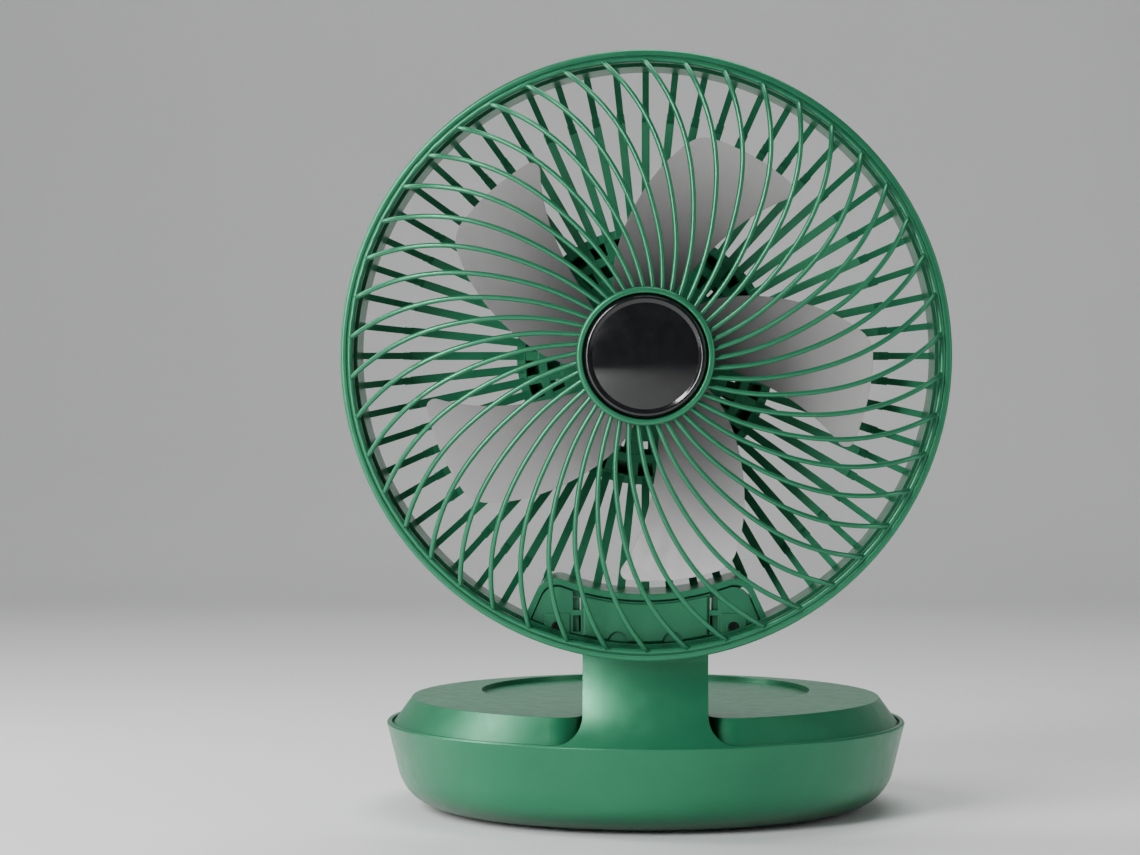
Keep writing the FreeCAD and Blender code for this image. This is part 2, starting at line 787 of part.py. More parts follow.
def power_button():
    cap = turned(
        "button_cap",
        [
            ("0", "- 4.5"), ("1.7", "- 4.5"), ("1.7", "- 4"), ("button_radius + 1.2", "- 4"),
            ("button_radius + 1.2", "- 3.3"), ("button_radius", "- 3.3"),
            ("button_radius", "0.9"), ("button_radius - 0.5", "1.4"), ("0", "1.4"),
        ],
    )
    dish = turned("button_dish", [("0", "1.1"), ("4", "1.4"), ("4", "2"), ("0", "2")])
    return cut("power_button", cap, dish)


def status_lens():
    lens = rod("lens_front", "lens_side", "0", "1.5", "- 4.6", "3.7")
    flange = rod("lens_flange", "lens_side", "0", "2.3", "- 5.7", "1.3")
    led = rod("lens_stem", "lens_side", "0", "1.2", "- 8", "3.3")
    return joined("status_lens", lens, flange, led)


def charge_socket():
    outside = padded("socket_outside", "XY_Plane", [stadium("- socket_side", "2.9", "1.65")],
                     "- 8", "6")
    inside = padded("socket_inside", "XY_Plane", [stadium("- socket_side", "2.9", "1.3")],
                    "- 7.2", "6")
    tongue = padded("socket_tongue", "XY_Plane",
                    [block("- socket_side - 3.1", "- socket_side + 3.1", "- 0.35", "0.35")],
                    "- 7.6", "4.8")
    return joined("charge_socket", cut("socket_case", outside, inside), tongue)


def hinge_bushes():
    pieces = []
    for i, low in enumerate(("neck_inner_half - 0.6", "- neck_half - 0.2")):
        sleeve = padded("bush_%d" % i, "YZ_Plane",
                        [("disc", "- hinge_back", "hinge_height", "bush_radius")], low, "3.2")
        bore = padded("bush_bore_%d" % i, "YZ_Plane",
                      [("disc", "- hinge_back", "hinge_height", "bush_bore")],
                      "- 40", "80")
        pieces.append(cut("bush_cut_%d" % i, sleeve, bore))
    return group("hinge_bushes", *pieces)


def lofted(label, points, radius):
    """Round bar through the points, as a loft of circles square to the path."""
    made = doc.addObject("Part::Feature", label)
    curve = Part.BSplineCurve()
    curve.interpolate([V(*p) for p in points])
    sections = []
    for point in points:
        place = curve.parameter(V(*point))
        along = curve.tangent(place)[0]
        circle = Part.Circle(curve.value(place), along, radius)
        side = V(0, 0, 1).cross(along)
        circle.XAxis = along.cross(side).normalize()
        sections.append(Part.Wire([circle.toShape()]))
    made.Shape = Part.makeLoft(sections, True, False)
    return made


def lead_run(label, points, radius):
    """Insulated lead: straight runs joined by arcs that touch them."""
    made = doc.addObject("Part::Feature", label)
    corners = [V(*p) for p in points]
    edges = []
    start = corners[0]
    for before, corner, after in zip(corners, corners[1:], corners[2:]):
        arrive = (corner - before).normalize()
        leave = (after - corner).normalize()
        reach = 0.45 * min((corner - before).Length, (after - corner).Length)
        first = corner - arrive * reach
        last = corner + leave * reach
        half = arrive.getAngle(leave) / 2
        bend = reach / math.tan(half)
        inward = (leave - arrive).normalize()
        middle = corner + inward * (bend / math.cos(half) - bend)
        edges.append(Part.makeLine(start, first))
        edges.append(Part.Arc(first, middle, last).toShape())
        start = last
    edges.append(Part.makeLine(start, corners[-1]))
    path = Part.Wire(edges)
    circle = Part.Circle(corners[0], corners[1] - corners[0], radius)
    made.Shape = path.makePipeShell([Part.Wire([circle.toShape()])], True, False)
    return made


def neck_lead():
    level = SIZE["hinge_height"]
    back = SIZE["hinge_back"]
    return lead_run(
        "neck_lead",
        [
            (3, -back - 2, level - 6), (3, -back - 2, 40), (9, -back + 4, 17), (32, -58, 8),
            (50, -22, 6), (52, 22, 6), (44, 73, 8), (20, 85, 17),
        ],
        1.5,
    )


# ---------------------------------------------------------------- head
def rib_path():
    """Points of one rib, from the ring to the centre ring. The grille is domed and the rib turns
    almost evenly with its distance from the centre."""
    first = SIZE["rib_circle"]
    inner = SIZE["centre_inner"] + 1.2
    foot = -SIZE["rib_foot"]
    points = []
    steps = 16
    for i in range(steps + 1):
        low = math.asin((inner / first) ** 2)
        turn = math.pi / 2 + (low - math.pi / 2) * i / steps
        radius = first * math.sqrt(math.sin(turn))
        share = (radius - SIZE["centre_outer"]) / (first - SIZE["centre_outer"])
        angle = SIZE["rib_start"] - SIZE["rib_sweep"] * (1 - share)
        angle += 0.6 * math.sin(2 * math.pi * share)
        height = foot + SIZE["rib_rise"] * math.cos(turn)
        a = math.radians(angle)
        points.append((radius * math.cos(a), radius * math.sin(a), height))
    return points


def front_grille():
    frame = turned(
        "front_ring",
        [
            ("cage_radius", "- ring_depth"),
            ("cage_radius", "- 1.3", "1.2", 1),
            ("cage_radius - 1.2", "- 0.1"),
            ("groove_radius + groove_half", "- 0.1"),
            ("groove_radius + groove_half", "- groove_depth"),
            ("groove_radius - groove_half", "- groove_depth"),
            ("groove_radius - groove_half", "- 0.25", "1.1", 1),
            ("lip_radius", "- 0.7"),
            ("lip_radius", "- lip_depth"),
            ("ring_inner", "- lip_depth"),
            ("ring_inner", "- ring_depth"),
        ],
    )
    centre = turned(
        "centre_ring",
        [
            ("0", "centre_floor - 1.8"),
            ("centre_inner", "centre_floor - 1.8"),
            ("centre_inner", "centre_back"),
            ("centre_outer", "centre_back"),
            ("centre_outer", "centre_front - 1", "1", 1),
            ("centre_outer - 1", "centre_front"),
            ("centre_inner + 0.5", "centre_front", "0.5", 1),
            ("centre_inner", "centre_front - 0.5"),
            ("centre_inner", "centre_floor"),
            ("0", "centre_floor"),
        ],
    )
    one = lofted("rib", rib_path(), SIZE["rib_radius"])
    ribs = doc.addObject("Part::Feature", "ribs")
    pieces = []
    for i in range(int(SIZE["rib_count"])):
        copy = one.Shape.copy()
        copy.rotate(V(0, 0, 0), V(0, 0, 1), 360.0 * i / SIZE["rib_count"])
        pieces.append(copy)
    ribs.Shape = Part.makeCompound(pieces)
    return joined("front_grille", frame, centre, ribs, tidy=False)


def badge():
    return turned(
        "badge",
        [
            ("0", "centre_floor"),
            ("badge_radius", "centre_floor"),
            ("badge_radius", "centre_front - 0.9"),
            ("badge_radius - 1.0", "centre_front + 0.5", "1.2", 1),
            ("badge_radius - 2.4", "centre_front + 0.5"),
            ("badge_radius - 3.2", "centre_front + 0.1", "badge_dome", 1),
            ("3", "centre_front + 2.3"),
            ("0", "centre_front + 2.3"),
        ],
    )


def rear_grille():
    slats = new_body("slats")
    across = [
        ("90.2", "- 43.4"),
        ("88.2", "- 45.0"),
        ("band_middle + 0.6", "- band_back"),
        ("band_middle + 0.6", "- band_front"),
        ("86.6", "- 41.8"),
        ("87.6", "- 40.6"),
    ]
    one = add_pad(slats, "XZ_Plane", [across], "0", "slat_width", True)
    around(slats, one, "slat_count")
    risers = new_body("risers")
    along = [
        ("104.0", "- skirt_back + 1.0"),
        ("105.4", "- skirt_back + 1.0"),
        ("90.9", "- 42.6"),
        ("90.2", "- 43.4"),
        ("87.6", "- 42.6"),
        ("87.6", "- 40.6"),
    ]
    one = add_pad(risers, "XZ_Plane", [along], "0", "side_width", True)
    around(risers, one, "slat_count")
    skirt = turned(
        "skirt",
        [
            ("flange_inner", "- flange_back + 0.6"),
            ("flange_inner + 2.2", "- flange_back + 0.6"),
            ("flange_inner + 1.4", "- skirt_back"),
            ("flange_inner", "- skirt_back"),
            ("flange_inner - 0.7", "- skirt_back + 0.7"),
        ],
    )
    bars = new_body("bars")
    short = block("hub_plate - 1.5", "band_outer - 1", "- band_back + 0.4", "- band_front - 0.2")
    one = add_pad(bars, "XZ_Plane", [short], "0", "bar_width", True)
    around(bars, one, "bar_count")
    rim = turned(
        "rear_ring",
        [
            ("spigot_inner", "- spigot_front"),
            ("spigot_inner", "- flange_front"),
            ("flange_inner", "- flange_front"),
            ("flange_inner", "- flange_back"),
            ("flange_radius", "- flange_back"),
            ("flange_radius", "- flange_front"),
            ("spigot_outer", "- flange_front"),
            ("spigot_outer", "- spigot_front"),
        ],
    )
    bands = [
        ring("band_one", "band_middle", "band_outer", "- band_back", "- band_front"),
        ring("band_two", "band_inner", "band_next", "- band_back", "- band_front"),
        ring("hub_disc", "tube_outer + 0.3", "hub_plate", "- band_back", "- band_front"),
    ]
    body = joined("grille_whole", slats, risers, skirt, bars, rim, *bands)
    outside = rounded(
        "pocket_outside",
        sector("pocket_block", "pocket_outer", "105.8", "pocket_half_outer", "pocket_front",
               "pocket_back"),
        "pocket_round_outer",
        lambda edge, m: edge.Curve.TypeId == "Part::GeomLine"
        and abs(abs(edge.tangentAt(edge.FirstParameter).z) - 1) < 1e-6
        and math.hypot(m.x, m.y) < value("pocket_outer") + 1,
    )
    inside = rounded(
        "pocket_inside",
        sector("pocket_space", "pocket_inner", "112", "pocket_half_inner", "pocket_front - 2",
               "pocket_back + 4"),
        "pocket_round_inner",
        lambda edge, m: edge.Curve.TypeId == "Part::GeomLine"
        and abs(abs(edge.tangentAt(edge.FirstParameter).z) - 1) < 1e-6
        and math.hypot(m.x, m.y) < value("pocket_inner") + 1,
    )
    # the pocket replaces the slats there; its lower end opens for the neck
    ring_keep = ring("ring_keep", "flange_inner - 0.2", "120", "- flange_back", "20")
    space = sector("pocket_room", "pocket_outer + 0.6", "112", "pocket_half_inner", "11.0",
                   "pocket_back + 9")
    clear = cut("pocket_clear", joined("pocket_cleared", outside, space), ring_keep)
    envelope = turned(
        "envelope",
        [
            ("0", "- 5"), ("105.8", "- 5"), ("105.8", "- skirt_back"), ("91.6", "- 43.4"),
            ("89.4", "- pocket_back"), ("0", "- pocket_back"),
        ],
    )
    walls = shared("pocket_walls", cut("pocket_both", outside, inside), envelope)
    ledge = cut("pocket_ledge",
                sector("ledge_block", "pocket_inner - 1", "103.6", "pocket_half_inner + 0.6",
                       "plate_back + 0.2", "plate_back + 2.2"),
                sector("ledge_space", "pocket_inner + 2.4", "112", "pocket_half_inner - 1.8",
                       "5", "60"))
    ears = []
    for i, (low, high) in enumerate((("ear_near", "ear_far"), ("- ear_far", "- ear_near"))):
        ears.append(padded("ear_%d" % i, "XY_Plane",
                           [block(low, high, "- ear_bottom", "- ear_top")],
                           "- ear_back", "ear_back - ear_front"))
    trimmed = shared("ears_trimmed", joined("ears", *ears),
                     sector("ear_limit", "60", "106", "pocket_half_outer - 0.3", "5", "60"))
    posts = []
    holes = []
    for i in range(3):
        a = math.radians(90 + 120 * i)
        for name, radius, low, length, list_out in (
            ("cover_boss", "3.4", "- dome_back + 2.5", "dome_back - band_back - 2.1", posts),
            ("cover_pilot", "1.25", "- band_back - 7", "9", holes),
        ):
            made = doc.addObject("Part::Cylinder", "%s_%d" % (name, i))
            bind(made, "Radius", radius)
            bind(made, "Height", length)
            made.Placement = FreeCAD.Placement(
                V(22.5 * math.cos(a), 22.5 * math.sin(a), value(low)), FreeCAD.Rotation()
            )
            list_out.append(made)
        b = math.radians(30 + 120 * i)
        made = doc.addObject("Part::Cylinder", "mount_hole_%d" % i)
        bind(made, "Radius", "1.35")
        bind(made, "Height", "12")
        made.Placement = FreeCAD.Placement(V(14 * math.cos(b), 14 * math.sin(b), -58),
                                           FreeCAD.Rotation())
        holes.append(made)
    pin_hole = padded("pin_hole", "YZ_Plane", [("disc", "- hinge_drop", "- hinge_depth",
                                               "pin_radius + 0.02")], "0", "pin_half * 2 + 0.2", True)
    holes.append(pin_hole)
    for i, x in enumerate(("cover_screw_side", "- cover_screw_side")):
        holes.append(rod("ear_pilot_%d" % i, x, "- cover_screw_drop", "1.25", "- 24.4", "10"))
    solid = joined("grille_all", cut("grille_cleared", body, clear), walls, ledge, trimmed, *posts)
    return cut("rear_grille", solid, *holes)


def hinge_cover():
    plate = rounded(
        "plate_round_body",
        sector("plate", "plate_inner", "plate_outer", "plate_half", "plate_front", "plate_back"),
        "plate_round",
        lambda edge, m: edge.Curve.TypeId == "Part::GeomLine"
        and abs(abs(edge.tangentAt(edge.FirstParameter).z) - 1) < 1e-6
        and math.hypot(m.x, m.y) < value("plate_inner") + 1,
    )
    raised = shared(
        "raised",
        padded("raised_block", "XY_Plane", [block("- panel_half", "panel_half", "- 110", "- 60")],
               "- plate_front - 0.2", "plate_front - panel_front + 0.2"),
        sector("raised_limit", "plate_inner + 0.6", "plate_outer", "plate_half", "5", "30"),
    )
    edge = rounded(
        "raised_edge",
        raised,
        "0.7",
        lambda edge, m: abs(m.z + value("panel_front")) < 0.01,
    )
    pads = []
    tools = []
    for i, side in enumerate(("", "- ")):
        centre = side + "cover_screw_side"
        pads.append(padded(
            "pad_%d" % i, "XY_Plane",
            [block(centre + " - 4.6", centre + " + 4.6", "- 101.6", "- 93.6")],
            "- plate_front - 0.2", "0.7"))
        low, high = ("slit_near", "slit_far") if i == 0 else ("- slit_far", "- slit_near")
        tools.append(padded("slit_up_%d" % i, "XY_Plane",
                            [block(low, high, "- bridge_drop + bridge_half", "- 80")],
                            "- 30", "30"))
        tools.append(padded("slit_down_%d" % i, "XY_Plane",
                            [block(low, high, "- 100.3", "- bridge_drop - bridge_half")],
                            "- 30", "30"))
        tools.append(rod("plate_hole_%d" % i, centre, "- cover_screw_drop", "1.5", "- 30", "30"))
        tools.append(rod("plate_sink_%d" % i, centre, "- cover_screw_drop", "2.0",
                         "- plate_front - 0.7", "6"))
        tools.append(rod("notch_%d" % i, side + "10", "- 103.9", "3.7",
                         "- panel_front - 0.8", "6"))
    whole = joined("hinge_cover_whole", plate, edge, *pads)
    return cut("hinge_cover", whole, *tools)


def hinge_cover_screws():
    pieces = []
    for i, x in enumerate(("cover_screw_side", "- cover_screw_side")):
        head = rod("hc_head_%d" % i, x, "- cover_screw_drop", "1.9", "- plate_front - 0.7", "0.9")
        shank = rod("hc_shank_%d" % i, x, "- cover_screw_drop", "1.2", "- 24", "24 - plate_front - 0.6")
        socket = rod("hc_socket_%d" % i, x, "- cover_screw_drop", "1.15", "- plate_front - 0.4", "3")
        pieces.append(cut("hc_screw_%d" % i, joined("hc_whole_%d" % i, head, shank), socket))
    return group("hinge_cover_screws", *pieces)


def hinge_pin():
    return padded("hinge_pin", "YZ_Plane", [("disc", "- hinge_drop", "- hinge_depth",
                                            "pin_radius")], "0", "pin_half * 2", True)


def friction_washers():
    pieces = []
    for i, low in enumerate(("neck_half + 0.3", "- ear_near")):
        sleeve = padded("washer_%d" % i, "YZ_Plane",
                        [("disc", "- hinge_drop", "- hinge_depth", "7.5")], low,
                        "ear_near - neck_half - 0.3")
        bore = padded("washer_bore_%d" % i, "YZ_Plane",
                      [("disc", "- hinge_drop", "- hinge_depth", "pin_radius + 0.05")],
                      "- 40", "80")
        pieces.append(cut("washer_cut_%d" % i, sleeve, bore))
    return group("friction_washers", *pieces)


def motor_mount():
    return turned(
        "motor_mount",
        [
            ("tube_inner", "- 22"), ("tube_inner", "- 52"), ("tube_outer", "- 52"),
            ("tube_outer", "- band_front"), ("20", "- band_front"), ("20", "- band_front + 2.4"),
            ("tube_outer + 1.5", "- band_front + 2.4"), ("tube_outer", "- 42.4"),
            ("tube_outer", "- 22"),
        ],
    )


def motor_bushes():
    return group(
        "motor_bushes",
        ring("sleeve_front", "sleeve_bore", "tube_inner", "- 28", "- 22.4"),
        ring("sleeve_rear", "sleeve_bore", "tube_inner", "- 46.6", "- 41"),
    )


def stator_core():
    core = new_body("stator_teeth")
    add_pad(core, "XY_Plane", [("disc", "0", "0", "9.6"), ("disc", "0", "0", "tube_outer")],
            "- 38", "8")
    stem = block("9.2", "16.6", "- 1.6", "1.6")
    tooth = add_pad(core, "XY_Plane", [stem], "- 38", "8")
    around(core, tooth, "coil_count")
    tips = ring("stator_tips", "16.4", "stator_radius", "- 38", "- 30")
    gaps = new_body("stator_gaps")
    opening = add_pad(gaps, "XY_Plane", [block("15", "20", "- 1.1", "1.1")], "- 40", "12")
    around(gaps, opening, "coil_count")
    gaps.Placement = FreeCAD.Placement(
        V(0, 0, 0), FreeCAD.Rotation(V(0, 0, 1), 180.0 / SIZE["coil_count"])
    )
    return cut("stator_core", joined("stator_joined", core, tips), gaps)


def stator_coils():
    pieces = []
    for i in range(int(SIZE["coil_count"])):
        outer = padded("coil_%d" % i, "XY_Plane", [block("11.2", "15.8", "- 2.9", "2.9")],
                       "- 39.4", "10.8")
        inner = padded("coil_core_%d" % i, "XY_Plane", [block("10", "17", "- 1.65", "1.65")],
                       "- 38.05", "8.1")
        one = cut("coil_cut_%d" % i, outer, inner)
        one.Placement = FreeCAD.Placement(
            V(0, 0, 0), FreeCAD.Rotation(V(0, 0, 1), 360.0 * i / SIZE["coil_count"])
        )
        pieces.append(one)
    return group("stator_coils", *pieces)


def motor_board():
    return ring("motor_board", "tube_outer + 1.8", "19.6", "- 46.5", "- 45")


def motor_screws():
    pieces = []
    for i in range(3):
        b = math.radians(30 + 120 * i)
        one = screw("motor_screw_%d" % i, "0", "0", "0", "2.4", "1.2", "1.2", "3.4")
        one.Placement = FreeCAD.Placement(
            V(14 * math.cos(b), 14 * math.sin(b), -SIZE["band_back"] - 1.25), FreeCAD.Rotation()
        )
        pieces.append(one)
    return group("motor_screws", *pieces)


def motor_rear_cover():
    dome = turned(
        "dome",
        [
            ("46.6", "- band_back - 0.1"),
            ("46.6", "- band_back - 2.0", "5.4", -1),
            ("41.2", "- dome_back"),
            ("0", "- dome_back"),
            ("0", "- dome_back + 2.4"),
            ("40.8", "- dome_back + 2.4", "3.4", 1),
            ("44.4", "- band_back - 2.0"),
            ("44.4", "- band_back - 0.1"),
        ],
    )
    tools = []
    for i in range(3):
        a = math.radians(90 + 120 * i)
        for name, radius, low, high in (("dome_hole", "1.5", -65, 10), ("dome_sink", "3", -61, 3.4)):
            made = doc.addObject("Part::Cylinder", "%s_%d" % (name, i))
            bind(made, "Radius", radius)
            made.Height = high
            made.Placement = FreeCAD.Placement(
                V(22.5 * math.cos(a), 22.5 * math.sin(a), low), FreeCAD.Rotation()
            )
            tools.append(made)
    vents = new_body("dome_vents")
    one = add_pad(vents, "XY_Plane", [block("27", "35", "- 0.9", "0.9")], "- 62", "8")
    around(vents, one, "24")
    return cut("motor_rear_cover", dome, vents, *tools)


def rear_cover_screws():
    pieces = []
    for i in range(3):
        a = math.radians(90 + 120 * i)
        one = screw("rear_screw_%d" % i, "0", "0", "0", "2.6", "1.3", "1.2", "7")
        one.Placement = FreeCAD.Placement(
            V(22.5 * math.cos(a), 22.5 * math.sin(a), 0.25 - SIZE["dome_back"]), FreeCAD.Rotation()
        )
        pieces.append(one)
    return group("rear_cover_screws", *pieces)


# ---------------------------------------------------------------- rotor
def blade_surface(shift):
    """Helical sheet of one blade over a patch a little larger than the blade."""
    rows = []
    for i in range(9):
        radius = 20.0 + (SIZE["blade_radius"] + 3 - 20.0) * i / 8
        share = (radius - 35.0) / (SIZE["blade_radius"] - 35.0)
        middle = 40.0 - 25.0 * share
        row = []
        for j in range(11):
            angle = middle + (j - 5) * 9.0
            rise = SIZE["blade_pitch"] * math.radians(angle - middle)
            a = math.radians(angle)
            row.append(V(radius * math.cos(a), radius * math.sin(a),
                         -SIZE["blade_middle"] + rise + shift))
        rows.append(row)
    surface = Part.BSplineSurface()
    surface.interpolate(rows)
    return surface


def blade():
    """One blade: the helical slab trimmed to the outline seen from the front."""
    half = SIZE["blade_thickness"] / 2
    low = blade_surface(-half)
    high = blade_surface(half)
    faces = [low.toShape(), high.toShape()]
    for edges in zip(faces[0].Wires[0].Edges, faces[1].Wires[0].Edges):
        faces.append(Part.makeRuledSurface(edges[0], edges[1]))
    shell = Part.makeShell(faces)
    shell.sewShape()
    slab = Part.makeSolid(shell)
    if slab.Volume < 0:
        slab.reverse()

    def at(radius, angle):
        a = math.radians(angle)
        return V(radius * math.cos(a), radius * math.sin(a), 0)

    tip = SIZE["blade_radius"]
    trailing = Part.BSplineCurve()
    trailing.interpolate([at(tip, 30), at(70, 38.5), at(52, 50), at(35, 63), at(22, 74)])
    leading = Part.BSplineCurve()
    leading.interpolate([at(22, 22), at(34, 16), at(55, 9.5), at(tip, 0)])
    edges = [
        Part.Arc(at(tip, 0), at(tip, 15), at(tip, 30)).toShape(),
        trailing.toShape(),
        Part.makeLine(at(22, 74), at(22, 22)),
        leading.toShape(),
    ]
    face = Part.Face(Part.Wire(edges))
    prism = face.extrude(V(0, 0, 80))
    prism.translate(V(0, 0, -60))
    for corner, radius in ((at(tip, 30), 11.0), (at(tip, 0), 3.0)):
        chosen = []
        for edge in prism.Edges:
            m = edge.valueAt((edge.FirstParameter + edge.LastParameter) / 2)
            upright = abs(abs(edge.tangentAt(edge.FirstParameter).z) - 1) < 1e-6
            if upright and (m - corner - V(0, 0, m.z)).Length < 0.5:
                chosen.append(edge)
        prism = prism.makeFillet(radius, chosen)
    return slab.common(prism)


def impeller():
    hub = turned(
        "hub",
        [
            ("shaft_radius", "- hub_front"),
            ("14", "- hub_front"),
            ("hub_radius - 5", "- hub_front - 0.8", "5.2", -1),
            ("hub_radius", "- hub_front - 5.4"),
            ("hub_radius", "- hub_back"),
            ("hub_bore", "- hub_back"),
            ("hub_bore", "- hub_front - 5.4"),
            ("hub_bore - 2", "- hub_front - 3"),
            ("5.5", "- hub_front - 3"),
            ("5.5", "- 17"),
            ("shaft_radius", "- 17"),
        ],
    )
    one = blade()
    blades = doc.addObject("Part::Feature", "blades")
    pieces = []
    for i in range(int(SIZE["blade_count"])):
        copy = one.copy()
        copy.rotate(V(0, 0, 0), V(0, 0, 1), 45.9 + 360.0 * i / SIZE["blade_count"])
        pieces.append(copy)
    blades.Shape = Part.makeCompound(pieces)
    bore = rod("blade_bore", "0", "0", "hub_bore + 0.6", "- 60", "60")
    trimmed = cut("blades_trimmed", blades, bore)
    return joined("impeller", hub, trimmed, tidy=False)


def rotor_bell():
    return turned(
        "rotor_bell",
        [
            ("shaft_radius", "- 17.2"), ("5", "- 17.2"), ("5", "- 19"),
            ("bell_radius - 1.5", "- 19"), ("bell_radius", "- 20.5"),
            ("bell_radius", "- 42.4"), ("magnet_outer", "- 42.4"), ("magnet_outer", "- 20.4"),
            ("4", "- 20.4"), ("4", "- 21.4"), ("shaft_radius", "- 21.4"),
        ],
    )


def rotor_magnets():
    return ring("rotor_magnets", "magnet_inner", "magnet_outer", "- 41.4", "- 27")


def motor_shaft():
    return turned(
        "motor_shaft",
        [
            ("0", "- 0.6"), ("shaft_radius - 0.3", "- 0.6"), ("shaft_radius", "- 0.9"),
            ("shaft_radius", "- 47"), ("1.6", "- 47"), ("1.6", "- 47.6"),
            ("shaft_radius", "- 47.6"), ("shaft_radius", "- 48.6"), ("0", "- 48.6"),
        ],
    )


def shaft_clip():
    return ring("shaft_clip", "1.6", "3.9", "- 47.6", "- 47")


def impeller_nut():
    nut = padded(
        "nut", "XY_Plane",
        [[("4", "0"), ("2", "3.464"), ("- 2", "3.464"), ("- 4", "0"), ("- 2", "- 3.464"),
          ("2", "- 3.464")]],
        "- hub_front", "2.2",
    )
    return cut("impeller_nut", nut, rod("nut_bore", "0", "0", "shaft_radius", "- 8", "10"))


# ---------------------------------------------------------------- assembly
BASE_PIECES = (
    base_shell, top_cover, foot_ring, base_screws, neck_rear_cover, neck_screws,
    battery_cells, battery_holder, hinge_bushes, neck_lead,
)
PANEL_PIECES = (
    power_button, control_board, board_screws, tact_switch, status_lens, charge_socket,
)
HEAD_PIECES = (
    front_grille, badge, rear_grille, hinge_cover, hinge_cover_screws, hinge_pin,
    friction_washers, motor_mount, motor_bushes, stator_core, stator_coils, motor_board,
    motor_screws, motor_rear_cover, rear_cover_screws, impeller, rotor_bell, rotor_magnets,
    motor_shaft, shaft_clip, impeller_nut,
)
for make in BASE_PIECES:
    node(make())
for make in PANEL_PIECES:
    panel_node(make())
for make in HEAD_PIECES:
    head_node(make())
doc.recompute()

for thing in doc.Objects:
    wrong = [word for word in thing.State if word in ("Invalid", "Error")]
    if wrong:
        raise RuntimeError("%s is %s" % (thing.Label, wrong))
for piece in NODES:
    if piece.Shape.isNull() or not piece.Shape.isValid() or not piece.Shape.Solids:
        raise RuntimeError("%s has no valid solid" % piece.Label)
for piece in NODES:
    piece.Shape.exportStep("parts/" + piece.Label + ".step")
    print(piece.Label, len(piece.Shape.Solids), round(piece.Shape.Volume / 1000, 2))
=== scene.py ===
import json
import math

import bpy
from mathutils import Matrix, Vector

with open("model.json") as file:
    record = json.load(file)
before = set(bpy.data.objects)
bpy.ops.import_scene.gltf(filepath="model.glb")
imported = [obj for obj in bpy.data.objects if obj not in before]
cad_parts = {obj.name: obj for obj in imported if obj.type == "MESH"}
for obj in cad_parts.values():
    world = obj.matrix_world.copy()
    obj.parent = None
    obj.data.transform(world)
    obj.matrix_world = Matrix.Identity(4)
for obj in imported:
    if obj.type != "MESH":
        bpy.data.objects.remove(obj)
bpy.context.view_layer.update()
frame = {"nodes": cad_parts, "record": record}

nodes = frame["nodes"]
record = frame["record"]

# metres
HUB_HEIGHT = 0.1758
CAMERA_DISTANCE = 1.3285
BLADE_ROOT = 0.026
BLADE_TIP = 0.082
# reach of the painted shade in corners and recesses
PAINTED_SHADE_REACH = 0.012


# ---------------------------------------------------------------- materials
def material(name, base, metallic=0.0, roughness=0.4, coat=0.0, coat_roughness=0.1,
             specular=0.5, ior=1.5):
    """Principled material whose even values sit on the shader's own sockets."""
    made = bpy.data.materials.new(name)
    made.use_nodes = True
    shader = made.node_tree.nodes["Principled BSDF"]
    shader.inputs["Base Color"].default_value = (*base, 1.0)
    shader.inputs["Metallic"].default_value = metallic
    shader.inputs["Roughness"].default_value = roughness
    shader.inputs["Coat Weight"].default_value = coat
    shader.inputs["Coat Roughness"].default_value = coat_roughness
    shader.inputs["Specular IOR Level"].default_value = specular
    shader.inputs["IOR"].default_value = ior
    made.diffuse_color = (*base, 1.0)
    return made


class Graph:
    """Short hand for building a material's node graph."""

    def __init__(self, made):
        self.tree = made.node_tree
        self.shader = self.tree.nodes["Principled BSDF"]

    def add(self, kind, **values):
        made = self.tree.nodes.new(kind)
        for key, value in values.items():
            if hasattr(made, key):
                setattr(made, key, value)
            else:
                made.inputs[key.replace("_", " ").title()].default_value = value
        return made

    def link(self, source, target):
        self.tree.links.new(source, target)

    def position(self):
        return self.add("ShaderNodeTexCoord").outputs["Object"]

    def noise(self, scale, detail=3.0, rough=0.5, stretch=None):
        where = self.position()
        if stretch:
            mapping = self.add("ShaderNodeMapping")
            mapping.inputs["Scale"].default_value = stretch
            self.link(where, mapping.inputs["Vector"])
            where = mapping.outputs["Vector"]
        made = self.add("ShaderNodeTexNoise")
        made.inputs["Scale"].default_value = scale
        made.inputs["Detail"].default_value = detail
        made.inputs["Roughness"].default_value = rough
        self.link(where, made.inputs["Vector"])
        return made.outputs["Fac"]

    def spread(self, value, low, high, start=0.3, stop=0.7):
        made = self.add("ShaderNodeMapRange")
        made.inputs["From Min"].default_value = start
        made.inputs["From Max"].default_value = stop
        made.inputs["To Min"].default_value = low
        made.inputs["To Max"].default_value = high
        self.link(value, made.inputs["Value"])
        return made.outputs["Result"]

    def ramp(self, value, stops):
        made = self.add("ShaderNodeValToRGB")
        ramp = made.color_ramp
        while len(ramp.elements) < len(stops):
            ramp.elements.new(0.5)
        for element, (place, colour) in zip(ramp.elements, stops):
            element.position = place
            element.color = (*colour, 1.0)
        self.link(value, made.inputs["Fac"])
        return made.outputs["Color"]

    def bump(self, layers, radius=0.0):
        """Stack of bump layers of (value, height in metres), over softly rounded edges."""
        normal = None
        if radius:
            bevel = self.add("ShaderNodeBevel")
            bevel.samples = 6
            bevel.inputs["Radius"].default_value = radius
            normal = bevel.outputs["Normal"]
        for value, height in layers:
            made = self.add("ShaderNodeBump")
            made.inputs["Strength"].default_value = 1.0
            made.inputs["Distance"].default_value = height
            self.link(value, made.inputs["Height"])
            if normal is not None:
                self.link(normal, made.inputs["Normal"])
            normal = made.outputs["Normal"]
        self.link(normal, self.shader.inputs["Normal"])


def shade(colour, factor):
    """The colour made lighter or darker."""
    return tuple(min(1.0, c * factor) for c in colour)


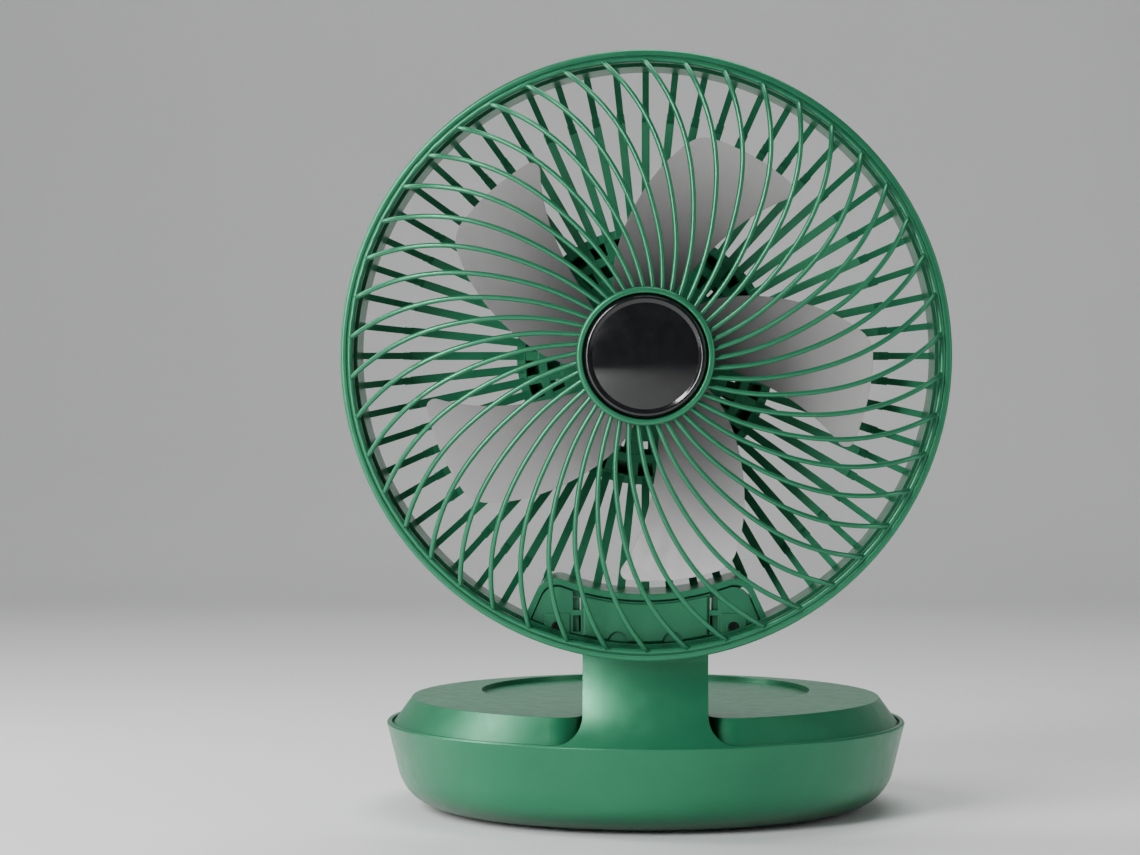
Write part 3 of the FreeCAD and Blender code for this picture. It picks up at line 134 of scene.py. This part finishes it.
def pearl_plastic(name, base, metallic=0.45, roughness=0.34, grain=1.0):
    """Plastic with a pearl pigment: cloudy flow marks, tiny flakes, and painted shade that
    darkens corners and recesses.
    """
    made = material(name, base, metallic, roughness, coat=0.1, coat_roughness=0.22)
    g = Graph(made)
    cloud = g.noise(38.0, 4.0, 0.55)
    flake = g.noise(5200.0, 1.0, 0.5)
    colour = g.ramp(cloud, [(0.3, shade(base, 0.93)), (0.5, base), (0.72, shade(base, 1.08))])
    # Painted shade: an ambient occlusion mask darkens the colour in corners, creases and
    # recesses.
    painted_shade_ao = g.add("ShaderNodeAmbientOcclusion", samples=6)
    painted_shade_ao.inputs["Distance"].default_value = PAINTED_SHADE_REACH
    painted_shade_factor = g.spread(painted_shade_ao.outputs["AO"], 0.35, 1.0, 0.15, 0.85)
    painted_shade_mix = g.add("ShaderNodeMix", data_type="RGBA", blend_type="MULTIPLY")
    painted_shade_mix.inputs[0].default_value = 1.0
    g.link(colour, painted_shade_mix.inputs[6])
    g.link(painted_shade_factor, painted_shade_mix.inputs[7])
    colour = painted_shade_mix.outputs[2]
    sparkle = g.ramp(flake, [(0.35, (0.46, 0.46, 0.46)), (0.6, (0.5, 0.5, 0.5)),
                             (0.8, (0.62, 0.62, 0.62))])
    mix = g.add("ShaderNodeMix", data_type="RGBA", blend_type="OVERLAY")
    mix.inputs[0].default_value = 0.55
    g.link(colour, mix.inputs[6])
    g.link(sparkle, mix.inputs[7])
    g.link(mix.outputs[2], g.shader.inputs["Base Color"])
    rough = g.spread(g.noise(160.0, 3.0, 0.6), roughness - 0.04, roughness + 0.05)
    g.link(rough, g.shader.inputs["Roughness"])
    g.bump([(g.noise(900.0, 2.0, 0.5), 0.000012 * grain), (g.noise(60.0, 2.0), 0.00006 * grain)],
           radius=0.00035)
    return made


GREEN = (0.020, 0.190, 0.090)
shell_green = pearl_plastic("shell_green", GREEN)
grille_green = pearl_plastic("grille_green", GREEN, 0.5, 0.32, 0.7)
hinge_green = pearl_plastic("hinge_green", shade(GREEN, 0.85), 0.35, 0.4)
button_green = pearl_plastic("button_green", shade(GREEN, 1.1), 0.4, 0.3)


def blade_plastic():
    """Satin grey plastic, with painted shade and light that darkens it at the roots of the
    blades and lightens it at their tips.
    """
    base = (0.30, 0.287, 0.291)
    made = material("blade_grey", base, 0.0, 0.42, coat=0.15, coat_roughness=0.3)
    g = Graph(made)
    colour = g.ramp(g.noise(26.0, 4.0, 0.6),
                    [(0.3, shade(base, 0.92)), (0.5, base), (0.7, shade(base, 1.07))])
    reach = g.add("ShaderNodeVectorMath", operation="LENGTH")
    flat = g.add("ShaderNodeVectorMath", operation="MULTIPLY")
    flat.inputs[1].default_value = (1.0, 0.0, 1.0)
    centred = g.add("ShaderNodeVectorMath", operation="SUBTRACT")
    centred.inputs[1].default_value = (0.0, 0.0, HUB_HEIGHT)
    g.link(g.position(), centred.inputs[0])
    g.link(centred.outputs["Vector"], flat.inputs[0])
    g.link(flat.outputs["Vector"], reach.inputs[0])
    # Painted shade and light: the colour is scaled from 0.3 at the blade roots to 1.2 at the
    # tips.
    painted_shade_tone = g.spread(reach.outputs["Value"], 0.3, 1.2, BLADE_ROOT, BLADE_TIP)
    painted_shade_graded = g.add("ShaderNodeMix", data_type="RGBA", blend_type="MULTIPLY")
    painted_shade_graded.inputs[0].default_value = 1.0
    g.link(colour, painted_shade_graded.inputs[6])
    g.link(painted_shade_tone, painted_shade_graded.inputs[7])
    g.link(painted_shade_graded.outputs[2], g.shader.inputs["Base Color"])
    g.link(g.spread(g.noise(220.0, 3.0), 0.38, 0.5), g.shader.inputs["Roughness"])
    g.bump([(g.noise(1400.0, 2.0), 0.00001)], radius=0.0003)
    return made


def piano_black():
    """Glossy black lacquer of the badge."""
    base = (0.004, 0.004, 0.005)
    made = material("badge_black", base, 0.0, 0.16, coat=0.6, coat_roughness=0.06, specular=0.4)
    g = Graph(made)
    g.link(g.spread(g.noise(90.0, 4.0), 0.09, 0.16), g.shader.inputs["Roughness"])
    colour = g.ramp(g.noise(240.0, 3.0), [(0.4, base), (0.75, (0.008, 0.008, 0.009))])
    g.link(colour, g.shader.inputs["Base Color"])
    g.bump([(g.noise(40.0, 1.0), 0.00002)], radius=0.0004)
    return made


def rubber():
    """Matt rubber of the foot ring."""
    base = (0.018, 0.018, 0.018)
    made = material("foot_rubber", base, 0.0, 0.75, specular=0.35)
    g = Graph(made)
    colour = g.ramp(g.noise(300.0, 4.0), [(0.35, shade(base, 0.7)), (0.7, shade(base, 1.6))])
    g.link(colour, g.shader.inputs["Base Color"])
    g.link(g.spread(g.noise(500.0, 3.0), 0.68, 0.85), g.shader.inputs["Roughness"])
    g.bump([(g.noise(1600.0, 3.0), 0.00004)], radius=0.0002)
    return made


def metal(name, base, roughness, stretch=(1, 1, 12)):
    """Metal with fine streaks, drawn out along one direction by stretch."""
    made = material(name, base, 1.0, roughness)
    g = Graph(made)
    streak = g.noise(700.0, 3.0, 0.6, stretch)
    g.link(g.spread(streak, roughness - 0.07, roughness + 0.1), g.shader.inputs["Roughness"])
    g.link(g.ramp(g.noise(180.0, 3.0), [(0.3, shade(base, 0.85)), (0.7, shade(base, 1.08))]),
           g.shader.inputs["Base Color"])
    g.bump([(streak, 0.000008)], radius=0.00015)
    return made


def plain_plastic(name, base, roughness=0.5):
    """Plain moulded plastic for small and inner pieces."""
    made = material(name, base, 0.0, roughness)
    g = Graph(made)
    g.link(g.ramp(g.noise(120.0, 3.0), [(0.3, shade(base, 0.85)), (0.7, shade(base, 1.12))]),
           g.shader.inputs["Base Color"])
    g.link(g.spread(g.noise(300.0, 2.0), roughness - 0.06, roughness + 0.08),
           g.shader.inputs["Roughness"])
    g.bump([(g.noise(1100.0, 2.0), 0.000015)], radius=0.00015)
    return made


def frosted_lens():
    """Frosted, half clear plastic of the status light."""
    base = (0.75, 0.85, 0.8)
    made = material("lens", base, 0.0, 0.35)
    g = Graph(made)
    g.shader.inputs["Transmission Weight"].default_value = 0.4
    g.link(g.spread(g.noise(900.0, 2.0), 0.3, 0.45), g.shader.inputs["Roughness"])
    g.link(g.ramp(g.noise(500.0, 2.0), [(0.3, shade(base, 0.94)), (0.7, base)]),
           g.shader.inputs["Base Color"])
    return made


LOOKS = {
    "shell_green": shell_green,
    "grille_green": grille_green,
    "hinge_green": hinge_green,
    "button_green": button_green,
    "blade_grey": blade_plastic(),
    "badge_black": piano_black(),
    "foot_rubber": rubber(),
    "screw_steel": metal("screw_steel", (0.55, 0.55, 0.56), 0.32),
    "screw_black": metal("screw_black", (0.03, 0.03, 0.032), 0.4),
    "pin_steel": metal("pin_steel", (0.62, 0.62, 0.64), 0.2),
    "motor_steel": metal("motor_steel", (0.5, 0.5, 0.52), 0.35),
    "magnet": plain_plastic("magnet", (0.04, 0.04, 0.045), 0.45),
    "winding": metal("winding", (0.6, 0.25, 0.1), 0.3, (1, 1, 30)),
    "bronze": metal("bronze", (0.55, 0.36, 0.16), 0.4),
    "mount_alloy": metal("mount_alloy", (0.6, 0.6, 0.62), 0.4),
    "board": plain_plastic("board", (0.01, 0.08, 0.035), 0.35),
    "cell": plain_plastic("cell", (0.02, 0.1, 0.3), 0.35),
    "tray_black": plain_plastic("tray_black", (0.02, 0.02, 0.02)),
    "switch_black": plain_plastic("switch_black", (0.015, 0.015, 0.015)),
    "bush_plastic": plain_plastic("bush_plastic", (0.8, 0.79, 0.74), 0.4),
    "lens": frosted_lens(),
    "port_metal": metal("port_metal", (0.55, 0.55, 0.57), 0.28),
    "lead": plain_plastic("lead", (0.015, 0.015, 0.015), 0.6),
    "washer": plain_plastic("washer", (0.06, 0.06, 0.06), 0.7),
}
for part in record["subparts"]:
    thing = nodes[part["node"]]
    thing.data.materials.clear()
    thing.data.materials.append(LOOKS[part["material_slot"]])


# ---------------------------------------------------------------- setting
def floor():
    """Pale table top that curves up into the wall far behind the fan."""
    made = bpy.data.meshes.new("backdrop")
    side, front, back, rise, height = 3.0, -2.2, 1.1, 0.7, 2.6
    profile = [(front, 0.0), (back, 0.0)]
    for i in range(1, 17):
        a = math.pi / 2 * i / 16
        profile.append((back + rise * math.sin(a), rise * (1 - math.cos(a))))
    profile.append((back + rise, height))
    points = [(x, y, z) for x in (-side, side) for y, z in profile]
    count = len(profile)
    faces = [(i, i + count, i + count + 1, i + 1) for i in range(count - 1)]
    made.from_pydata(points, [], faces)
    for face in made.polygons:
        face.use_smooth = True
    thing = bpy.data.objects.new("backdrop", made)
    bpy.context.scene.collection.objects.link(thing)
    look = material("backdrop", (0.8, 0.81, 0.8), 0.0, 0.6, specular=0.3)
    g = Graph(look)
    g.link(g.ramp(g.noise(3.0, 3.0), [(0.3, (0.78, 0.79, 0.78)), (0.7, (0.82, 0.83, 0.82))]),
           g.shader.inputs["Base Color"])
    made.materials.append(look)


def lamp(name, place, aim, size, power, size_y=None):
    """Soft rectangular light at a place, turned towards aim. Its power is in watts."""
    data = bpy.data.lights.new(name, "AREA")
    data.shape = "RECTANGLE"
    data.size = size
    data.size_y = size_y or size
    data.energy = power
    thing = bpy.data.objects.new(name, data)
    thing.location = place
    thing.rotation_euler = (Vector(aim) - Vector(place)).to_track_quat("-Z", "Y").to_euler()
    bpy.context.scene.collection.objects.link(thing)


floor()
lamp("key", (-0.75, -1.15, 0.75), (0, -0.05, 0.1), 0.3, 20, size_y=0.8)
lamp("rim_left", (-0.8, 0.05, 0.5), (0, -0.05, 0.15), 0.2, 7, size_y=0.9)
lamp("fill", (1.1, -0.5, 0.45), (0, -0.05, 0.15), 0.35, 3, size_y=0.9)
lamp("low_left", (-0.6, -0.9, 0.2), (0, -0.1, 0.05), 0.2, 2.5, size_y=0.3)
lamp("top", (0.1, 0.15, 1.2), (0, -0.05, 0.1), 0.7, 8)
world = bpy.data.worlds.new("studio")
world.use_nodes = True
world.node_tree.nodes["Background"].inputs["Color"].default_value = (0.9, 0.93, 0.95, 1)
world.node_tree.nodes["Background"].inputs["Strength"].default_value = 0.12
bpy.context.scene.world = world


def camera():
    """Level with the fan's hub and a little more than a metre in front of it."""
    data = bpy.data.cameras.new("camera")
    data.sensor_fit = "HORIZONTAL"
    data.sensor_width = 36.0
    data.lens = 107.4
    data.clip_start = 0.05
    thing = bpy.data.objects.new("camera", data)
    thing.location = (0.0, -CAMERA_DISTANCE, HUB_HEIGHT)
    thing.rotation_euler = (math.radians(90 - 1.205), 0.0, math.radians(1.272))
    bpy.context.scene.collection.objects.link(thing)
    bpy.context.scene.camera = thing


camera()
